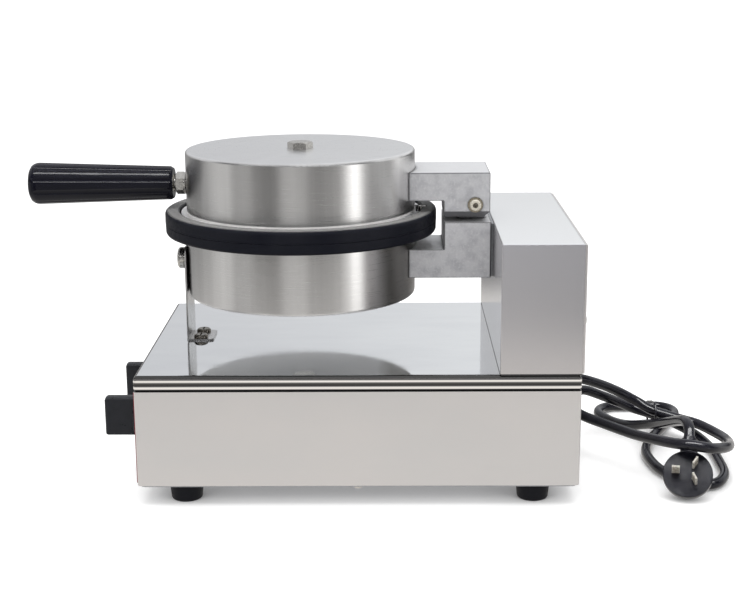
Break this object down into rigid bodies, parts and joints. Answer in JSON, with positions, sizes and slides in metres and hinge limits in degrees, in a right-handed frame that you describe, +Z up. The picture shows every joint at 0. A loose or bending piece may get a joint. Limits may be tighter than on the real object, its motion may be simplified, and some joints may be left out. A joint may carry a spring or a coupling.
{
  "type": "waffle cone maker",
  "caption": "Counter-top waffle cone maker: a hinged round baking head with a side handle over a steel base with two dial knobs and a coiled mains cord.",
  "frame": {"origin": "on the bench plane, midway between the handle's free end and the far end of the coiled cord, and on the machine's centreline", "axes": "+Z up, -X towards the user's side with the handle and the knobs, +X towards the hinge column and the cord"},
  "size_m": [0.62, 0.256, 0.2828],
  "materials": {
    "polished_steel": "mirror-polished stainless sheet",
    "satin_steel": "fine satin stainless sheet",
    "brushed_steel": "spun stainless, brushed around the drum",
    "galvanised_steel": "zinc-plated steel",
    "screw_steel": "plated fastener steel",
    "rubber": "moulded black rubber",
    "overlay": "printed polyester overlay with a red border",
    "lamp_lens": "translucent lamp lens",
    "cast_aluminium": "as-cast aluminium with machined faces",
    "plate_casting": "machined cast aluminium baking plate",
    "brass": "plain brass",
    "pin_nickel": "nickel-plated",
    "black_moulding": "satin black moulding",
    "element_sheath": "heat-darkened sheath",
    "ceramic_fibre": "white ceramic-fibre board",
    "black_phenolic": "glossy black phenolic",
    "control_body": "moulded switch body",
    "terminal_plastic": "moulded terminal strip",
    "lead_sleeve": "woven glass sleeve",
    "cord_black": "black flexible sheath"
  },
  "bodies": {
    "base": {"deck_plate": "polished_steel", "base_housing": "satin_steel", "bottom_plate": "galvanised_steel", "bottom_screws": "screw_steel", "rubber_feet": "rubber", "foot_screws": "screw_steel", "front_overlay": "overlay", "indicator_lamps": "lamp_lens", "column_housing": "satin_steel", "column_rear_cover": "satin_steel", "cover_screws": "screw_steel", "column_screws": "screw_steel", "hinge_backing_plate": "galvanised_steel", "hinge_bolts": "screw_steel", "hinge_spacer": "galvanised_steel", "lower_hinge_block": "cast_aluminium", "hinge_bushes": "brass", "lower_arm_clamp": "galvanised_steel", "lower_arm_bolts": "screw_steel", "lower_shell": "brushed_steel", "lower_plate": "plate_casting", "drip_ring": "black_moulding", "ring_screw": "screw_steel", "lower_heating_element": "element_sheath", "lower_press_plate": "galvanised_steel", "lower_insulation": "ceramic_fibre", "lower_head_bolt": "screw_steel", "front_bracket": "polished_steel", "bracket_screws": "screw_steel", "bracket_bolt": "screw_steel", "thermostat_body": "control_body", "timer_body": "control_body", "control_nuts": "screw_steel", "terminal_block": "terminal_plastic", "lower_heater_leads": "lead_sleeve", "cord_grip": "cord_black", "power_cord": "cord_black", "cord_tie": "cord_black", "plug_body": "cord_black", "plug_blades": "brass"},
    "lid": {"upper_hinge_block": "cast_aluminium", "hinge_pin": "pin_nickel", "hinge_washers": "pin_nickel", "upper_arm_clamp": "galvanised_steel", "upper_arm_bolts": "screw_steel", "upper_shell": "brushed_steel", "upper_plate": "plate_casting", "upper_heating_element": "element_sheath", "upper_press_plate": "galvanised_steel", "upper_insulation": "ceramic_fibre", "top_bolt": "screw_steel", "handle_grip": "black_phenolic", "handle_insert": "brass", "handle_stud": "screw_steel", "handle_nuts": "screw_steel", "upper_heater_leads": "lead_sleeve"},
    "temperature_control": {"temperature_knob": "black_moulding", "thermostat_shaft": "screw_steel"},
    "timer_control": {"timer_knob": "black_moulding", "timer_shaft": "screw_steel"}
  },
  "joints": [
    {"name": "lid_hinge", "type": "hinge", "parent": "base", "child": "lid", "pos_m": [0.0727, 0, 0.2328], "axis": [0, 1, 0], "range_deg": [0, 92]},
    {"name": "temperature_turn", "type": "hinge", "parent": "base", "child": "temperature_control", "pos_m": [-0.206, 0.0515, 0.0545], "axis": [1, 0, 0], "range_deg": [0, 270]},
    {"name": "timer_turn", "type": "hinge", "parent": "base", "child": "timer_control", "pos_m": [-0.206, -0.0515, 0.0545], "axis": [1, 0, 0], "range_deg": [0, 300]}
  ]
}
